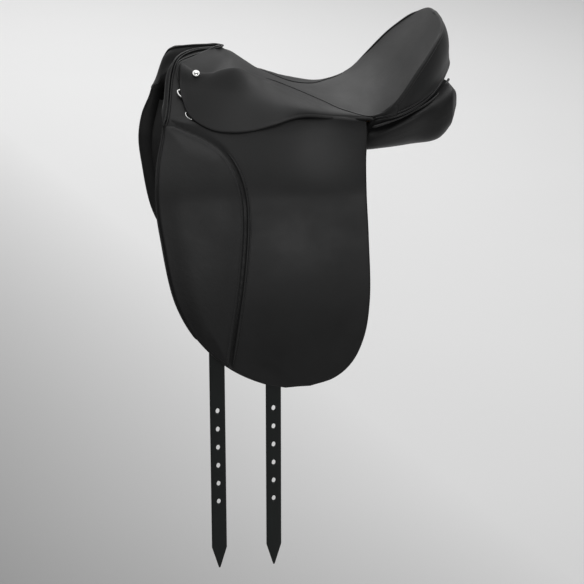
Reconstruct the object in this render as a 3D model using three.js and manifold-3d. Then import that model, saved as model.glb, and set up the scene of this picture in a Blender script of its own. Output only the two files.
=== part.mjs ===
// English dressage saddle, in millimetres.
// +X runs towards the cantle, -Y is the near (left) side, +Z is up.
// The origin is on the centreline, on the line where the panels rest on the horse's back.
import * as THREE from 'three';
import { mergeVertices } from 'three/addons/utils/BufferGeometryUtils.js';
import Module from 'manifold-3d';

const wasm = await Module();
wasm.setup();

// ---- driving dimensions ----
const FLAP_LEATHER = 5;
const SKIRT_LEATHER = 4;
const SEAT_LEATHER = 3;
const SWEAT_LEATHER = 3;
const BILLET_WIDTH = 25;
const BILLET_LEATHER = 3.5;
const BILLET_X = { front: -179, rear: -88 };
const BILLET_TOP = 38;
const BILLET_STRAIGHT = -250;
const BILLET_TIP = -683;
const BILLET_POINT = 38;
const BILLET_DEPTH = 8;
const HOLE_COUNT = 7;
const HOLE_PITCH = 32.3;
const HOLE_TOP = -399;
const HOLE_SIZE = [3.2, 5];
const FOLD_BOTTOM = { front: -262, rear: -300 };
const FOLD_LEG_GAP = 6;
const FLAP_TOP_WIDTH = 144;
const FLAP_SPREAD = 115;
const FLAP_TOP = 60;
const FLAP_BOTTOM = -360;
const FLAP_FLARE = 2.195;
const WAIST_X = 5;
const WAIST_REACH = 60;
const WAIST_DEPTH = 34;
const HINGE_Z = 31;
const HINGE_GAP = 0.6;
const SWEAT_DEPTH = 19;
const SKIRT_CROWN = 0.09;
const PAD_THICKNESS = 8;
const NAIL = [-191, 78, 123];
const RING_RADIUS = 9;
const RING_WIRE = 1.5;
const RINGS = [['upper', 0.3, 0.1], ['lower', 0.53, 0.14]];
const BAR_HEIGHT = 0.3;
const BAR_LIFT = 5.4;
const BAR_FRONT = -162;
const BAR_REAR = -84;

const LEATHER = 0x2b2c2d;
const DARK_LEATHER = 0x1d1e1f;
const STRAP_LEATHER = 0x262a29;
const WOOD = 0xb08a5a;
const FOAM = 0xcfc7a8;
const WEBBING = 0x8d8672;
const STEEL = 0x9a9ca0;
const SILVER = 0xd8d8d6;

// ---- building blocks ----
const point = (x, y, z) => new THREE.Vector3(x, y, z);
const curve = (points) => new THREE.CatmullRomCurve3(points.map((p) => point(...p)), false, 'centripetal');
const outline = (points) => curve(points.map(([x, z]) => [x, 0, z]));
const smooth = THREE.MathUtils.smoothstep;
const along = (line) => (v) => line.getPoint(THREE.MathUtils.clamp(v, 0, 1));

function cornered(points) {
  return (v) => {
    const t = THREE.MathUtils.clamp(v, 0, 1) * (points.length - 1);
    const i = Math.min(Math.floor(t), points.length - 2);
    return point(...points[i]).lerp(point(...points[i + 1]), t - i);
  };
}

function signedVolume(geometry) {
  const position = geometry.attributes.position;
  const index = geometry.index;
  const [a, b, c] = [point(), point(), point()];
  let volume = 0;
  for (let i = 0; i < index.count; i += 3) {
    a.fromBufferAttribute(position, index.getX(i));
    b.fromBufferAttribute(position, index.getX(i + 1));
    c.fromBufferAttribute(position, index.getX(i + 2));
    volume += a.dot(b.cross(c)) / 6;
  }
  return volume;
}

// Welds a geometry into one closed body whose faces point out.
function closed(source) {
  const geometry = source.clone();
  geometry.deleteAttribute('normal');
  geometry.deleteAttribute('uv');
  const welded = mergeVertices(geometry, 1e-3);
  if (signedVolume(welded) < 0) {
    const flipped = Array.from(welded.index.array);
    for (let i = 0; i < flipped.length; i += 3) {
      [flipped[i], flipped[i + 1]] = [flipped[i + 1], flipped[i]];
    }
    welded.setIndex(flipped);
  }
  return welded;
}

// A box of nu by nv by nw cells, bent by map(u, v, w) with u, v and w from 0 to 1.
function bent(nu, nv, nw, map) {
  const geometry = new THREE.BoxGeometry(1, 1, 1, nu, nv, nw);
  const position = geometry.attributes.position;
  for (let i = 0; i < position.count; i += 1) {
    const p = map(position.getX(i) + 0.5, position.getY(i) + 0.5, position.getZ(i) + 0.5);
    position.setXYZ(i, p.x, p.y, p.z);
  }
  return closed(geometry);
}

function normalAt(surface, u, v) {
  const step = 1e-3;
  const across = surface(u + step, v).sub(surface(u - step, v));
  const lengthwise = surface(u, v + step).sub(surface(u, v - step));
  return across.cross(lengthwise).normalize();
}

// A sheet under surface(u, v): its faces lie at the depths top and bottom along the normal.
function sheet(surface, nu, nv, top, bottom, away) {
  return bent(nu, nv, 1, (u, v, w) => {
    const normal = normalAt(surface, u, v);
    const side = Math.sign(normal.dot(away(u, v))) || 1;
    const depth = THREE.MathUtils.lerp(bottom, top, w);
    return surface(u, v).addScaledVector(normal, -side * depth);
  });
}

// The surface between two curves, bulging by crown times their distance apart.
function patch(upper, lower, crown, away) {
  return (u, v) => {
    const a = upper(v);
    const b = lower(v);
    const bulge = crown * a.distanceTo(b) * 4 * u * (1 - u);
    return a.lerp(b, u).addScaledVector(away(u, v), bulge);
  };
}

// A flat bar of a given width and thickness along a curve, with its width along across(t).
function bar(path, width, thickness, steps, across) {
  return bent(1, steps, 1, (u, v, w) => {
    const side = across(v).normalize();
    const face = path.getTangent(v).cross(side).normalize();
    const p = path.getPoint(v).addScaledVector(side, (u - 0.5) * width);
    return p.addScaledVector(face, (w - 0.5) * thickness);
  });
}

function tube(path, radius, steps, sides) {
  const section = new THREE.Shape();
  section.absarc(0, 0, radius, 0, 2 * Math.PI, false);
  const options = { steps, extrudePath: path, curveSegments: sides / 2, bevelEnabled: false };
  return closed(new THREE.ExtrudeGeometry(section, options));
}

function manifold(geometry) {
  return new wasm.Manifold(new wasm.Mesh({
    numProp: 3,
    vertProperties: Float32Array.from(geometry.attributes.position.array),
    triVerts: Uint32Array.from(geometry.index.array),
  }));
}

function fromManifold(solid) {
  const mesh = solid.getMesh();
  const geometry = new THREE.BufferGeometry();
  geometry.setAttribute('position', new THREE.BufferAttribute(Float32Array.from(mesh.vertProperties), 3));
  geometry.setIndex(Array.from(mesh.triVerts));
  return geometry;
}

const joined = (...pieces) => fromManifold(pieces.map(manifold).reduce((whole, piece) => whole.add(piece)));
const cut = (body, ...tools) => {
  const left = tools.map(manifold).reduce((rest, tool) => rest.subtract(tool), manifold(body));
  return fromManifold(left);
};
const mirrored = (geometry) => closed(geometry.clone().scale(1, -1, 1));

const saddle = new THREE.Group();

function add(name, geometry, color, roughness = 0.5, metalness = 0) {
  const mesh = new THREE.Mesh(geometry, new THREE.MeshStandardMaterial({ color, roughness, metalness }));
  mesh.name = name;
  saddle.add(mesh);
}

// Pieces are shaped on the off side, where y is positive, and mirrored to the near side.
function addPair(name, geometry, ...finish) {
  add(`off_${name}`, geometry, ...finish);
  add(`near_${name}`, mirrored(geometry), ...finish);
}

const up = () => point(0, 0, 1);
const outward = () => point(0, 1, 0.8).normalize();

// ---- the shared surfaces ----

// Distance of the flap's outer face from the centreline plane.
function flapReach(x, z, waistDepth = WAIST_DEPTH) {
  const down = (FLAP_TOP - z) / (FLAP_TOP - FLAP_BOTTOM);
  const spread = FLAP_TOP_WIDTH + FLAP_SPREAD * (1 - (1 - down) ** FLAP_FLARE);
  const waist = waistDepth * Math.exp(-(((x - WAIST_X) / WAIST_REACH) ** 2));
  return spread - smooth(z, -FLAP_TOP, FLAP_TOP) * (8 - 0.08 * x + waist);
}

const onFlap = (p, depth = 0, waistDepth = WAIST_DEPTH) => point(p.x, flapReach(p.x, p.z,
  waistDepth) - depth, p.z);

// The billets and sweat flap hang further in towards the top, where the flap slopes.
const billetDepth = (z) => BILLET_DEPTH + 5 * smooth(z, -100, 0) + 0.5 * Math.max(0, z - 10);
const sweatDepth = (z) => SWEAT_DEPTH + 11 * smooth(z, -100, 0);

const flapFront = outline([[-251, HINGE_Z], [-262, -8], [-267, -61], [-262, -111], [-243, -210],
  [-210, -272],
  [-160, -322], [-107, -350], [-70, -359]]);
const flapRear = outline([[77, HINGE_Z], [72, -5], [69, -53], [69, -120], [68, -220], [58, -280], [38, -322],
  [10, -346], [-30, -358]]);

// Seat stations from pommel to cantle: the edge seam on one side, and the centreline.
const seatEdge = curve([[-205, 60, 128], [-160, 62, 125], [-115, 50, 118], [-70, 22, 98], [-25, 26, 76],
  [15, 56, 63], [50, 106, 56], [90, 150, 58], [126, 159, 82], [160, 143, 120], [189, 116, 154]]);
const seatCentre = curve([[-176, 0, 146], [-150, 0, 144], [-118, 0, 127], [-72, 0, 98], [-25, 0, 77],
  [15, 0, 67], [55, 0, 64], [95, 0, 74], [130, 0, 97], [175, 0, 146], [217, 0, 201]]);

function seatSurface(u, v) {
  const across = 2 * u - 1;
  const edge = seatEdge.getPoint(THREE.MathUtils.clamp(v, 0, 1));
  const centre = seatCentre.getPoint(THREE.MathUtils.clamp(v, 0, 1));
  const corner = Math.abs(across) ** THREE.MathUtils.lerp(2, 3.9, smooth(v, 0.7, 1));
  const drop = Math.abs(across) ** THREE.MathUtils.lerp(2, 2.6, smooth(v, 0.7, 1));
  const x = THREE.MathUtils.lerp(centre.x, edge.x, corner);
  return point(x, edge.y * across, THREE.MathUtils.lerp(centre.z, edge.z, drop));
}

const flapHeadUpper = curve([[-229, 60, 115], [-190, 76, 98], [-140, 90, 78], [-90, 92, 68], [-40, 90, 60],
  [5, 98, 46], [45, 114, 41], [77, 140, 42]]);
const flapHeadLower = (v) => onFlap(point(THREE.MathUtils.lerp(-251, 77, v), 0, HINGE_Z + HINGE_GAP));
const flapHead = patch(along(flapHeadUpper), flapHeadLower, 0.02, outward);

// The skirt: its seam to the seat, its straight fold and its free lower edge.
const skirtSeam = curve([[-207, 62, 127], [-182, 64, 126], [-130, 60, 121], [-95, 42, 110], [-60, 26, 93],
  [-20, 33, 74], [20, 64, 60], [55, 114, 54], [82, 144, 55]]);
const SKIRT_FOLD = [point(-217, 88, 108), point(28, 116, 52)];
const skirtFree = curve([[-217, 90, 107], [-217, 103, 91], [-207, 124, 63], [-180, 138, 47], [-140, 147, 38],
  [-100, 147, 42], [-55, 138, 53], [-14, 124, 53], [28, 118, 50]]);
const skirtFixed = cornered([[-217, 68, 124], [-217, 88, 108], [-135.3, 97.3, 89.3], [-53.7, 106.7, 70.7],
  [28, 116, 52], [56, 137, 48], [88, 156, 52]]);
const foldAt = (t) => SKIRT_FOLD[0].clone().lerp(SKIRT_FOLD[1], t);

// ---- the tree and its steel ----

function archBand(inner, outer, depth, x) {
  const shape = new THREE.Shape();
  const mirror = (list) => list.map(([w, z]) => [-w, z]).reverse();
  const smoothLine = (list) => outline(mirror(list.slice(1)).concat(list)).getPoints(16);
  const rim = smoothLine(outer);
  const bore = smoothLine(inner).reverse();
  shape.setFromPoints(rim.concat(bore).map((p) => new THREE.Vector2(p.x, p.z)));
  const geometry = new THREE.ExtrudeGeometry(shape, { depth, bevelEnabled: false });
  geometry.applyMatrix4(new THREE.Matrix4().set(0, 0, 1, x, 1, 0, 0, 0, 0, 1, 0, 0, 0, 0, 0, 1));
  return closed(geometry);
}

function treeRail() {
  const path = curve([[-195, 52, 94], [-120, 58, 72], [-60, 58, 54], [20, 72, 38.5], [100, 94, 43],
    [174, 102, 84]]);
  return bar(path, 30, 9, 14, () => point(0, 1, -0.1));
}

function cantleBoard() {
  const upper = curve([[168, -118, 102], [198, -82, 144], [216, 0, 168], [198, 82, 144], [168, 118, 102]]);
  const lower = curve([[166, -120, 80], [203, -78, 88], [222, 0, 98], [203, 78, 88], [166, 120, 80]]);
  const board = patch(along(upper), along(lower), 0, up);
  return sheet(board, 4, 16, 0, 9, () => point(1, 0, 0));
}

function buildTree() {
  const arch = archBand([[0, 98], [42, 86], [70, 54], [98, 4]], [[0, 118], [50, 106], [84, 62],
    [110, 0]], 32, -208);
  const rail = treeRail();
  add('tree', joined(arch, rail, mirrored(rail), cantleBoard()), WOOD, 0.6);
  add('head_plate', archBand([[0, 94.6], [40.5, 82.8], [67, 52.5], [91, 12]], [[0, 96.6], [41, 84.6],
    [68.7, 53.2], [93, 12]],
    26, -205), STEEL, 0.35, 0.9);
  const strip = curve([[-160, 59, 91.5], [-120, 58, 79], [-60, 58, 60.5], [20, 72, 44.8], [90, 92, 48]]);
  addPair('spring_steel', bar(strip, 18, 1.2, 10, () => point(0, 1, -0.1)), STEEL, 0.35, 0.9);
}

// ---- the seat ----

function buildSeat() {
  add('seat_leather', sheet(seatSurface, 10, 22, 0, SEAT_LEATHER, up), LEATHER, 0.45);
  const inset = (u, v) => seatSurface(0.1 + 0.8 * u, 0.04 + 0.9 * v);
  add('seat_foam', sheet(inset, 6, 16, SEAT_LEATHER + 1.2, SEAT_LEATHER + 7, up), FOAM, 0.9);
  const strip = (u, v) => seatSurface(0.5 + (u - 0.5) * 0.24, 0.09 + 0.72 * v);
  add('seat_web', sheet(strip, 2, 14, SEAT_LEATHER + 8, SEAT_LEATHER + 10, up), WEBBING, 0.9);
}

// ---- one side: skirt, flap, straps ----

function buildSkirt() {
  const fixed = patch(along(skirtSeam), skirtFixed, SKIRT_CROWN, outward);
  addPair('skirt_head', sheet(fixed, 4, 18, 0, SKIRT_LEATHER, outward), LEATHER, 0.45);
  const free = patch((v) => foldAt(0.004 + 0.992 * v).add(point(0, HINGE_GAP, -HINGE_GAP)),
    (v) => along(skirtFree)(0.01 + 0.98 * v), 0.05, outward);
  addPair('skirt', sheet(free, 3, 16, 0, SKIRT_LEATHER, outward), LEATHER, 0.45);
}

function buildFlap() {
  const head = bent(4, 14, 1, (u, v, w) => flapHead(u, v).add(point(0, -FLAP_LEATHER * w, 0)));
  addPair('flap_head', head, LEATHER, 0.5);
  const flap = (u, v) => {
    const t = THREE.MathUtils.clamp(v, 0, 1);
    return onFlap(flapFront.getPoint(t).lerp(flapRear.getPoint(t), u).add(point(0, 0,
      -HINGE_GAP * (1 - t))));
  };
  const body = bent(8, 18, 1, (u, v, w) => flap(u, v).add(point(0, -FLAP_LEATHER * w, 0)));
  addPair('flap', body, LEATHER, 0.5);
}

function buildKneePad() {
  const front = outline([[-254, 8], [-263, -61], [-257, -115], [-238, -210], [-205, -270], [-166, -312]]);
  const rear = outline([[-162, 12], [-133, -30], [-127, -85], [-137, -187], [-153, -275], [-159, -312]]);
  const pad = bent(5, 14, 1, (u, v, w) => {
    const p = front.getPoint(v).lerp(rear.getPoint(v), u);
    const swell = Math.sin(Math.PI * u) ** 0.6 * Math.sin(Math.PI * v) ** 0.4;
    return onFlap(p, -(1.4 + w * (2 + (PAD_THICKNESS - 2) * swell)));
  });
  addPair('knee_pad', pad, LEATHER, 0.55);
}

function buildSweatFlap() {
  const front = outline([[-236, 34], [-246, -50], [-240, -130], [-215, -235], [-165, -305], [-110, -328]]);
  const rear = outline([[62, -20], [54, -50], [52, -130], [48, -235], [26, -300], [-30, -328]]);
  const body = bent(8, 16, 1, (u, v, w) => {
    const p = front.getPoint(v).lerp(rear.getPoint(v), u);
    return onFlap(p, sweatDepth(p.z) + SWEAT_LEATHER * w, WAIST_DEPTH + 16);
  });
  addPair('sweat_flap', body, DARK_LEATHER, 0.6);
}

// ---- stirrup bars and rings, in the gap between the flap head and the skirt ----

// A place above the flap head, with directions along the surface.
function headPlace(u, v, height) {
  const normal = normalAt(flapHead, u, v);
  normal.multiplyScalar(Math.sign(normal.dot(outward())));
  const down = point(0, 0, -1).projectOnPlane(normal).normalize();
  return { origin: flapHead(u, v).addScaledVector(normal, height), normal, down,
    side: down.clone().cross(normal) };
}

// Moves a geometry whose x, y and z are side, down and normal to a place.
function placed(geometry, place) {
  const frame = new THREE.Matrix4().makeBasis(place.side, place.down,
    place.normal).setPosition(place.origin);
  return geometry.applyMatrix4(frame);
}

function buildStirrupBar() {
  const rodAt = (x) => headPlace(BAR_HEIGHT, (x + 251) / 328, BAR_LIFT).origin;
  const rod = curve([BAR_FRONT, -130, BAR_REAR].map((x) => rodAt(x).toArray()));
  const root = rodAt(BAR_FRONT + 4);
  const lug = curve([[root.x, 79.5, 81], [root.x, 83, 87.5], [root.x, 90, 86.4], root.toArray()]);
  const plate = curve([[BAR_FRONT - 2, 78.5, 80], [-132, 78.5, 71], [-106, 78.5, 66]]);
  const pieces = [bar(rod, 10, 5, 6, () => outward().cross(point(1, 0, 0))),
    bar(lug, 14, 4, 8, () => point(1, 0, 0)), bar(plate, 10, 3, 6, () => point(0, 0, 1))];
  addPair('stirrup_bar', joined(...pieces), STEEL, 0.3, 0.9);
  const hinge = headPlace(BAR_HEIGHT, (BAR_REAR + 1 + 251) / 328, BAR_LIFT);
  const lever = new THREE.BoxGeometry(16, 9, 4.4, 2, 1, 1);
  lever.translate(12.5, 0, 0);
  addPair('safety_catch', closed(placed(lever, hinge)), STEEL, 0.3, 0.9);
}

function buildRings() {
  for (const [name, u, v] of RINGS) {
    const place = headPlace(u, v, RING_WIRE + 0.6);
    const ring = new THREE.TorusGeometry(RING_RADIUS, RING_WIRE, 6, 18);
    const position = ring.attributes.position;
    for (let i = 0; i < position.count; i += 1) {
      const y = position.getY(i);
      position.setY(i, (y < 0 ? 0.3 * y : y) + 0.3 * RING_RADIUS);
    }
    addPair(`${name}_ring`, closed(placed(ring, place)), SILVER, 0.25, 1);
    const chape = new THREE.BoxGeometry(9, 15, 1.6, 1, 1, 1);
    chape.translate(0, -4, RING_WIRE + 1.4);
    addPair(`${name}_chape`, closed(placed(chape, place)), LEATHER, 0.6);
  }
}

// ---- welts and webbing ----

function buildWelts() {
  const seam = seatEdge.points.map((p) => [p.x, p.y + 2.4, p.z + 3.6]).slice(0, 8);
  addPair('seat_welt', tube(curve(seam), 1.8, 30, 6), LEATHER, 0.4);
  const pommel = curve([[-178, 0, 151.5], [-187, 30, 146], [-201, 50, 137], [-216, 60, 126], [-234, 70, 110],
    [-243, 88, 90]]);
  add('pommel_welt', tube(new SpannedCurve(pommel, point()), 2, 36, 6), LEATHER, 0.4);
  const gusset = curve([[88, 158, 36], [131, 162, 52], [155, 158, 60], [182, 140, 71], [208, 115, 84],
    [230, 82, 92]]);
  addPair('panel_welt', tube(gusset, 2, 20, 6), DARK_LEATHER, 0.45);
  const web = curve([[-88, -112, 43], [-88, -98, 52], [-88, -78, 67.5], [-88, -60, 77], [-88, 0, 81],
    [-88, 60, 77], [-88, 78, 67.5], [-88, 98, 52], [-88, 112, 43]]);
  add('girth_web', bar(web, BILLET_WIDTH, 2, 24, () => point(1, 0, 0)), WEBBING, 0.9);
}

// ---- billets ----

function billetHoles(x, y) {
  const hole = new THREE.CylinderGeometry(1, 1, 30, 10);
  hole.scale(HOLE_SIZE[0], 1, HOLE_SIZE[1]);
  const places = Array.from({ length: HOLE_COUNT }, (_, i) => HOLE_TOP - i * HOLE_PITCH);
  return places.map((z) => closed(hole.clone().translate(x, y, z)));
}

function hangingBillet(x) {
  const length = BILLET_TOP - BILLET_TIP;
  const strap = bent(2, 40, 1, (u, v, w) => {
    const z = BILLET_TOP - length * v;
    const y = flapReach(x, Math.max(z, BILLET_STRAIGHT)) - billetDepth(z) - BILLET_LEATHER * w;
    const half = Math.min(BILLET_WIDTH / 2, 2 + (z - BILLET_TIP) * (BILLET_WIDTH / 2 - 2) / BILLET_POINT);
    return point(x + (2 * u - 1) * half, y, z);
  });
  return cut(strap, ...billetHoles(x, flapReach(x, BILLET_STRAIGHT) - BILLET_DEPTH));
}

function foldedBillet(x, bottom) {
  const radius = FOLD_LEG_GAP / 2;
  const outerDepth = (z) => billetDepth(z) - 1 + BILLET_LEATHER / 2;
  const legs = [];
  for (let z = BILLET_TOP; z > bottom; z -= 43) {
    legs.push(point(x, flapReach(x, z) - outerDepth(z), z));
  }
  const turnY = flapReach(x, bottom) - outerDepth(bottom) - radius;
  for (const angle of [0, 45, 90, 135, 180]) {
    const a = THREE.MathUtils.degToRad(angle);
    legs.push(point(x, turnY + radius * Math.cos(a), bottom - radius * Math.sin(a)));
  }
  for (let z = bottom + 43; z < BILLET_TOP; z += 43) {
    legs.push(point(x, flapReach(x, z) - outerDepth(z) - FOLD_LEG_GAP, z));
  }
  const path = new THREE.CatmullRomCurve3(legs, false, 'centripetal');
  return bar(path, BILLET_WIDTH, BILLET_LEATHER, 44, () => point(1, 0, 0));
}

function buildBillets() {
  for (const [place, x] of Object.entries(BILLET_X)) {
    add(`near_${place}_billet`, mirrored(hangingBillet(x)), STRAP_LEATHER, 0.55);
    add(`off_${place}_billet`, foldedBillet(x, FOLD_BOTTOM[place]), STRAP_LEATHER, 0.55);
  }
}

// ---- panels ----
const panelStations = [
  [-228, 73, 18, 44, 9, -60], [-212, 72, 15, 54, 11, -60], [-150, 74, 16, 54, 12, -50],
  [-60, 76, 19, 44, 13, -25],
  [30, 80, 12, 46, 14, -10], [90, 90, 12, 52, 18, -4], [150, 90, 24, 53, 27, 0], [200, 80, 45, 46, 34, 0],
  [224, 74, 60, 36, 26, 0], [233, 72, 66, 20, 10, 0],
];
const panelLine = curve(panelStations.map(([x, w, z]) => [x, w, z]));
const panelSize = curve(panelStations.map(([, , , width, thick, tilt]) => [width, thick, tilt]));

function panel() {
  return bent(4, 22, 4, (u, v, w) => {
    const centre = panelLine.getPoint(v);
    const size = panelSize.getPoint(v);
    const [a, b] = [2 * u - 1, 2 * w - 1];
    const across = a * Math.sqrt(1 - b * b / 2) * size.x * 1.12;
    const rise = b * Math.sqrt(1 - a * a / 2) * size.y * 1.12;
    const tilt = THREE.MathUtils.degToRad(size.z);
    const flare = 0.5 * u * rise * (smooth(centre.x, 30, 110) - smooth(centre.x, 150, 200));
    const y = centre.y + across * Math.cos(tilt) - rise * Math.sin(tilt) + flare;
    return point(centre.x, y, centre.z + across * Math.sin(tilt) + rise * Math.cos(tilt));
  });
}

// ---- cantle and pommel ----
const cantleRim = curve([[217, 0, 201], [217, 42, 194], [210, 82, 178], [196, 108, 162], [172, 133, 135],
  [140, 156, 96], [112, 160, 67]]);
const cantleFoot = curve([[234, 0, 109], [229, 34, 106], [216, 68, 100], [198, 102, 91], [172, 134, 80],
  [140, 156, 69], [114, 162, 60]]);

function acrossCentre(half) {
  return (t) => {
    const p = half.getPoint(Math.abs(2 * THREE.MathUtils.clamp(t, 0, 1) - 1));
    return t < 0.5 ? p.setY(-p.y) : p;
  };
}

class SpannedCurve extends THREE.Curve {
  constructor(half, offset) {
    super();
    this.at = acrossCentre(half);
    this.offset = offset;
  }

  getPoint(t) {
    return this.at(t).add(this.offset);
  }
}

function buildCantle() {
  const rim = acrossCentre(cantleRim);
  const foot = acrossCentre(cantleFoot);
  const facing = (u, v) => {
    const back = point(1, 0, 0).multiplyScalar(5 * Math.sin(Math.PI * u) + 4);
    return rim(v).lerp(foot(v), 0.1 + 0.86 * u).add(back);
  };
  add('cantle_facing', sheet(facing, 4, 24, 0, SEAT_LEATHER, () => point(1, 0, 0)), LEATHER, 0.4);
  add('cantle_welt', tube(new SpannedCurve(cantleFoot, point(4, 0, -3)), 2.5, 36, 6), LEATHER, 0.4);
}

function buildPommel() {
  const rim = curve([[-178.5, 0, 147], [-186, 30, 141], [-200, 50, 132], [-214, 54, 123],
    [-235, 58, 108], [-243, 82, 86]]);
  const lip = curve([[-226, 0, 104], [-229, 20, 101], [-233, 38, 92], [-236, 48, 86], [-239, 56, 78],
    [-242, 64, 70]]);
  const facing = patch(acrossCentre(rim), acrossCentre(lip), 0, up);
  const nose = (u, v) => facing(u, v).add(point(-9 * Math.sin(Math.PI * u), 0, 8 * Math.sin(Math.PI * u)));
  add('pommel_facing', sheet(nose, 5, 18, 0, SEAT_LEATHER, () => point(-1, 0, 0.3)), LEATHER, 0.45);
}

// ---- small fittings ----

function buildNails() {
  const nail = new THREE.SphereGeometry(6, 14, 8);
  nail.scale(1, 1, 0.4);
  nail.rotateX(-Math.PI / 4);
  nail.translate(NAIL[0], NAIL[1] + 5, NAIL[2] + 5);
  addPair('head_nail', closed(nail), SILVER, 0.25, 1);
}

buildTree();
buildSeat();
buildSkirt();
buildFlap();
buildKneePad();
buildSweatFlap();
buildStirrupBar();
buildRings();
buildWelts();
buildBillets();
addPair('panel', panel(), DARK_LEATHER, 0.6);
buildCantle();
buildPommel();
buildNails();

export default saddle;
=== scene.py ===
import math

import bmesh
import bpy
import numpy as np
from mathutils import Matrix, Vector


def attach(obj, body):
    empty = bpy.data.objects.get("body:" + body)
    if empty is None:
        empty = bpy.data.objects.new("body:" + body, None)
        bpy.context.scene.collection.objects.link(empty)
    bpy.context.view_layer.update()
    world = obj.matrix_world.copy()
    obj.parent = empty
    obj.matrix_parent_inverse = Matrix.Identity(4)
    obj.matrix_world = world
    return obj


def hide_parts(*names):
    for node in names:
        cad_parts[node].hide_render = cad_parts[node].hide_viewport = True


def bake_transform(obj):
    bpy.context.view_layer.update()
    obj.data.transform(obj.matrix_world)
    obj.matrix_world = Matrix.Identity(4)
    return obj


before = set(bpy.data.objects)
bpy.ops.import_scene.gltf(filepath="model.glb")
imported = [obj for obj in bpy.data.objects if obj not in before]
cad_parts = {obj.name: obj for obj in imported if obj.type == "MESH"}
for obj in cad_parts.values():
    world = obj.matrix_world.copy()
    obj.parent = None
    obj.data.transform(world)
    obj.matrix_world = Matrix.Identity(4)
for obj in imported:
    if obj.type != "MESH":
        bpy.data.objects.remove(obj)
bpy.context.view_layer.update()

MM = 0.001

# ---- camera ----
LENS = 120
SENSOR = 36
CAMERA_AT = (-0.4620, -3.1219, 0.8570)
CAMERA_AIM = (-0.0233, 0.0, -0.2904)


def aimed(name, data, place, aim):
    """A camera or lamp at place, turned towards aim."""
    obj = bpy.data.objects.new(name, data)
    bpy.context.scene.collection.objects.link(obj)
    obj.location = place
    obj.rotation_mode = "QUATERNION"
    obj.rotation_quaternion = (Vector(aim) - Vector(place)).to_track_quat("-Z", "Y")
    return obj


def make_camera():
    data = bpy.data.cameras.new("camera")
    data.lens = LENS
    data.sensor_width = SENSOR
    data.clip_end = 200
    bpy.context.scene.camera = aimed("camera", data, CAMERA_AT, CAMERA_AIM)


make_camera()


# ---- curves and surfaces, in millimetres, on the off side where y is positive ----
def curve(points):
    """A centripetal Catmull-Rom curve through points: f(t) for an array of t from 0 to 1."""
    p = np.array(points, float)
    ring = np.vstack([2 * p[0] - p[1], p, 2 * p[-1] - p[-2]])

    def gap(m, n):
        return np.maximum(np.sum((n - m) ** 2, axis=1), 1e-12)[:, None] ** 0.25

    def at(t):
        t = np.clip(np.atleast_1d(np.asarray(t, float)), 0, 1) * (len(p) - 1)
        i = np.minimum(t.astype(int), len(p) - 2)
        w = (t - i)[:, None]
        a, b, c, d = ring[i], ring[i + 1], ring[i + 2], ring[i + 3]
        ab, bc, cd = gap(a, b), gap(b, c), gap(c, d)
        start = ((b - a) / ab - (c - a) / (ab + bc) + (c - b) / bc) * bc
        end = ((c - b) / bc - (d - b) / (bc + cd) + (d - c) / cd) * bc
        return b + start * w + (3 * (c - b) - 2 * start - end) * w**2 + (2 * (b - c) + start + end) * w**3

    return at


def outline(points):
    return curve([(x, 0, z) for x, z in points])


def lengths(line):
    return np.concatenate([[0], np.cumsum(np.linalg.norm(np.diff(line, axis=0), axis=1))])


def evenly(line, count, start=0.0, end=1.0):
    """count points at even distances along a curve, from the share start to the share end of its length."""
    fine = line(np.linspace(0, 1, 600))
    s = lengths(fine)
    wanted = np.linspace(start, end, count) * s[-1]
    return np.column_stack([np.interp(wanted, s, fine[:, k]) for k in range(3)])


def even_curve(line, count=64):
    """The same curve, with even speed."""
    return curve(evenly(line, count))


def smooth(x, low, high):
    t = np.clip((np.asarray(x, float) - low) / (high - low), 0, 1)
    return t * t * (3 - 2 * t)


def lerp(a, b, t):
    return a + (b - a) * t


def unit(v):
    return v / np.maximum(np.linalg.norm(v, axis=-1, keepdims=True), 1e-12)


def normals(grid):
    """Unit normals of an n by m grid of points."""
    across = np.gradient(grid, axis=0)
    lengthwise = np.gradient(grid, axis=1)
    return unit(np.cross(across, lengthwise))


def loft(lines, rows, count):
    """A grid through several curves: rows are shares from first to last, count the steps along."""
    v = np.linspace(0, 1, count)
    knots = np.stack([line(v) for line in lines], axis=1)
    return np.stack([curve(k)(rows) for k in knots], axis=1)


def nearest(points, line, chunk=4000):
    """Distance of every point from a polyline, and the nearest place on it as a share of its length."""
    flat = points.reshape(-1, 3)
    a, d = line[:-1], np.diff(line, axis=0)
    dd = np.maximum(np.sum(d * d, axis=1), 1e-9)
    s = lengths(line)
    far, place = np.empty(len(flat)), np.empty(len(flat))
    for i in range(0, len(flat), chunk):
        p = flat[i : i + chunk, None, :]
        t = np.clip(np.sum((p - a) * d, axis=2) / dd, 0, 1)
        gaps = np.linalg.norm(p - (a + t[..., None] * d), axis=2)
        k = np.argmin(gaps, axis=1)
        rows = np.arange(len(k))
        far[i : i + chunk] = gaps[rows, k]
        place[i : i + chunk] = (s[k] + t[rows, k] * np.sqrt(dd[k])) / s[-1]
    return far.reshape(points.shape[:-1]), place.reshape(points.shape[:-1])


def ends_dense(count, width, round_mm):
    """Shares from 0 to 1, with extra steps near both ends for a rounded edge."""
    near = np.array([0, 0.08, 0.3, 0.65, 1.1]) * round_mm / width
    middle = np.linspace(near[-1], 1 - near[-1], count)
    return np.concatenate([near[:-1], middle, 1 - near[:-1][::-1]])


# ---- meshes ----
def placed(points, side):
    """Points as rows in metres, on the off side for 1 and mirrored to the near side for -1."""
    flat = np.reshape(points, (-1, 3)) * MM
    flat[:, 1] *= side
    return flat


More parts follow.
